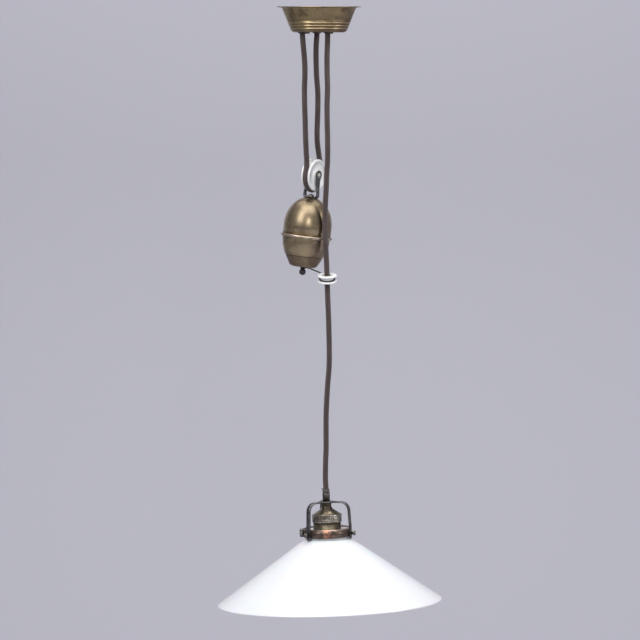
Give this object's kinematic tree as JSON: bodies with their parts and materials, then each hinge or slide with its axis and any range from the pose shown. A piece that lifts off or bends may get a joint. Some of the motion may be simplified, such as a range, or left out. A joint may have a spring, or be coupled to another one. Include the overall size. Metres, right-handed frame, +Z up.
{
  "type": "rise and fall pendant",
  "caption": "Ceiling pendant on a textile cord over grooved wheels, balanced by an egg-shaped counterweight, with a lampholder, shade carrier and conical glass shade.",
  "frame": {"origin": "middle of the ceiling face, on the axis of the ceiling rose", "axes": "+Z is up into the ceiling, +X is to the right of the picture, -Y is towards its viewer"},
  "size_m": [0.3486, 0.3488, 0.9323],
  "materials": {
    "aged_brass": "spun and pressed brass, aged to olive brown",
    "old_iron": "dark blue-grey forged iron, matt",
    "steel": "plain zinc-grey steel",
    "porcelain": "white glaze",
    "cord": "dark brown-grey woven textile over the flex",
    "black_fibre": "black, satin",
    "lead_sheath": "dark rubber",
    "copper_brown": "dark copper brown, edges worn bright",
    "holder_brass": "tan lacquered brass",
    "opal_glass": "white opal glass, glossy"
  },
  "bodies": {
    "ceiling_fitting": {"ceiling_rose": "aged_brass", "cord_bushes": "black_fibre", "ceiling_bar": "steel", "wheel_bracket": "steel", "rose_wheel_axle": "steel", "rose_screws": "aged_brass", "cord_stop": "aged_brass", "stop_screw": "steel", "terminal_block": "porcelain", "terminal_screws": "aged_brass", "rose_leads": "lead_sheath", "cord_fixed_run": "cord", "cord_return_run": "cord", "cord_lamp_run": "cord", "cord_rose_loop": "cord"},
    "rose_wheel": {"rose_wheel": "porcelain"},
    "counterweight": {"weight_upper_shell": "aged_brass", "weight_lower_shell": "aged_brass", "weight_band": "aged_brass", "weight_core": "old_iron", "weight_rod": "steel", "rod_nut": "steel", "weight_ball": "black_fibre", "stirrup": "old_iron", "weight_wheel_axle": "steel", "guide_wire": "old_iron", "guide_eye": "porcelain", "cord_weight_loop": "cord"},
    "weight_wheel": {"weight_wheel": "porcelain"},
    "lamp": {"cord_binding": "lead_sheath", "cord_grip": "old_iron", "nipple": "steel", "nipple_nut": "steel", "holder_cap": "holder_brass", "cap_grub_screw": "steel", "holder_collar": "holder_brass", "holder_shell": "holder_brass", "holder_insert": "porcelain", "screw_shell": "holder_brass", "centre_contact": "holder_brass", "holder_terminals": "holder_brass", "holder_leads": "lead_sheath", "shade_carrier": "old_iron", "shade_band": "copper_brown", "band_screw": "steel", "band_nut": "steel", "glass_shade": "opal_glass"},
    "shade_screw_1": {"shade_screw_1": "steel"},
    "shade_screw_2": {"shade_screw_2": "steel"},
    "shade_screw_3": {"shade_screw_3": "steel"}
  },
  "joints": [
    {"name": "lamp_rise", "type": "slide", "parent": "ceiling_fitting", "child": "lamp", "axis": [0, 0, 1], "range_m": [-0.33, 0.2], "deforming": ["cord_lamp_run"]},
    {"name": "weight_rise", "type": "slide", "parent": "ceiling_fitting", "child": "counterweight", "axis": [0, 0, 1], "range_m": [-0.1, 0.165], "deforming": ["cord_fixed_run", "cord_return_run"]},
    {"name": "rose_wheel_spin", "type": "hinge", "parent": "ceiling_fitting", "child": "rose_wheel", "pos_m": [0.00525, -0.0067, -0.0223], "axis": [0.8077, 0.5897, 0], "continuous": true},
    {"name": "weight_wheel_spin", "type": "hinge", "parent": "counterweight", "child": "weight_wheel", "pos_m": [-0.0085, 0.007, -0.261], "axis": [0.8472, -0.5225, -0.0965], "continuous": true},
    {"name": "shade_screw_1_out", "type": "slide", "parent": "lamp", "child": "shade_screw_1", "axis": [0.9391, -0.342, 0.0328], "range_m": [0, 0.006]},
    {"name": "shade_screw_2_out", "type": "slide", "parent": "lamp", "child": "shade_screw_2", "axis": [-0.7656, -0.6428, -0.0267], "range_m": [0, 0.006]},
    {"name": "shade_screw_3_out", "type": "slide", "parent": "lamp", "child": "shade_screw_3", "axis": [-0.1735, 0.9848, -0.0061], "range_m": [0, 0.006]}
  ],
  "couplings": [
    {"joint": "weight_rise", "follows": "lamp_rise", "ratio": -0.5},
    {"joint": "rose_wheel_spin", "follows": "lamp_rise", "rad_per_m": -71.474},
    {"joint": "weight_wheel_spin", "follows": "lamp_rise", "rad_per_m": -21.186}
  ]
}
